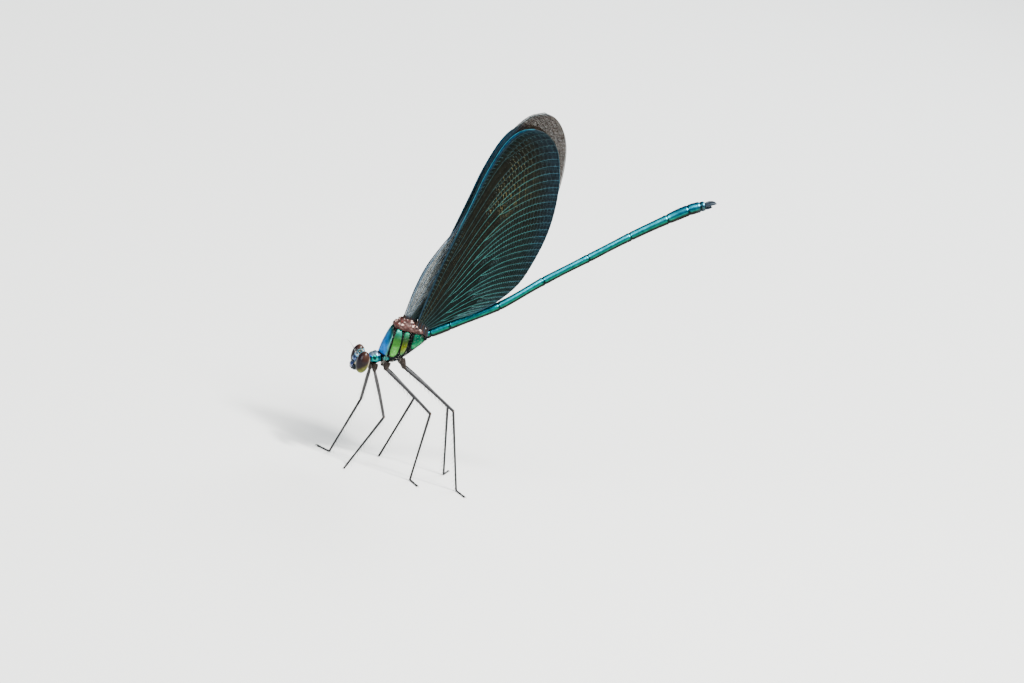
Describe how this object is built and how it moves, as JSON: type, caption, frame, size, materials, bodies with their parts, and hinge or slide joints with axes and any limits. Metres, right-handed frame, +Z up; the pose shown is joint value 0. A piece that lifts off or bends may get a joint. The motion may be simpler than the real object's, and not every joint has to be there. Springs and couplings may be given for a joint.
{
  "type": "male broad-winged damselfly, life-size display model",
  "caption": "Standing slim metallic blue-green damselfly with dark net-veined wings closed upright over its back, a long raised abdomen and thin bristly legs.",
  "frame": {"origin": "on the floor, under the middle of the whole animal's box", "axes": "+Z up, the head looks along -X, the animal's left side is at -Y"},
  "size_m": [0.0506, 0.0154, 0.0607],
  "materials": {
    "head_shell": "metallic blue-green shell with dark patches and a cream spot beside the mouth",
    "mouth_lip": "glossy dark blue",
    "compound_eye": "glossy dark brown above, olive green below",
    "feeler": "black, satin",
    "collar_shell": "metallic teal with dark hollows and pale dust",
    "thorax_shell": "metallic sky blue in front, green and olive panels behind, black seams",
    "wing_base_plates": "pinkish brown plates with cream edges",
    "fore_wing_membrane": "smoky see-through membrane with a metallic blue leading edge",
    "hind_wing_membrane": "black-green iridescent membrane with teal veins",
    "hip_shell": "dark brown with short hairs",
    "leg_shell": "near black, satin, with long fine bristles",
    "abdomen_shell": "metallic teal sides, blue-black back line, dark belly",
    "clasper": "glossy black"
  },
  "bodies": {
    "root": {"head": "head_shell", "labrum": "mouth_lip", "eye_left": "compound_eye", "eye_right": "compound_eye", "antenna_left": "feeler", "antenna_right": "feeler", "prothorax": "collar_shell", "pterothorax": "thorax_shell", "wing_base": "wing_base_plates", "fore_wing_left": "fore_wing_membrane", "fore_wing_right": "fore_wing_membrane", "hind_wing_left": "hind_wing_membrane", "hind_wing_right": "hind_wing_membrane", "coxa_front_left": "hip_shell", "femur_front_left": "leg_shell", "tibia_front_left": "leg_shell", "tarsus_front_left": "leg_shell", "coxa_front_right": "hip_shell", "femur_front_right": "leg_shell", "tibia_front_right": "leg_shell", "tarsus_front_right": "leg_shell", "coxa_middle_left": "hip_shell", "femur_middle_left": "leg_shell", "tibia_middle_left": "leg_shell", "tarsus_middle_left": "leg_shell", "coxa_middle_right": "hip_shell", "femur_middle_right": "leg_shell", "tibia_middle_right": "leg_shell", "tarsus_middle_right": "leg_shell", "coxa_hind_left": "hip_shell", "femur_hind_left": "leg_shell", "tibia_hind_left": "leg_shell", "tarsus_hind_left": "leg_shell", "coxa_hind_right": "hip_shell", "femur_hind_right": "leg_shell", "tibia_hind_right": "leg_shell", "tarsus_hind_right": "leg_shell", "abdomen_1": "abdomen_shell", "abdomen_2": "abdomen_shell", "abdomen_3": "abdomen_shell", "abdomen_4": "abdomen_shell", "abdomen_5": "abdomen_shell", "abdomen_6": "abdomen_shell", "abdomen_7": "abdomen_shell", "abdomen_8": "abdomen_shell", "abdomen_9": "abdomen_shell", "abdomen_10": "abdomen_shell", "cercus_left": "clasper", "paraproct_left": "clasper", "cercus_right": "clasper", "paraproct_right": "clasper"}
  },
  "joints": []
}
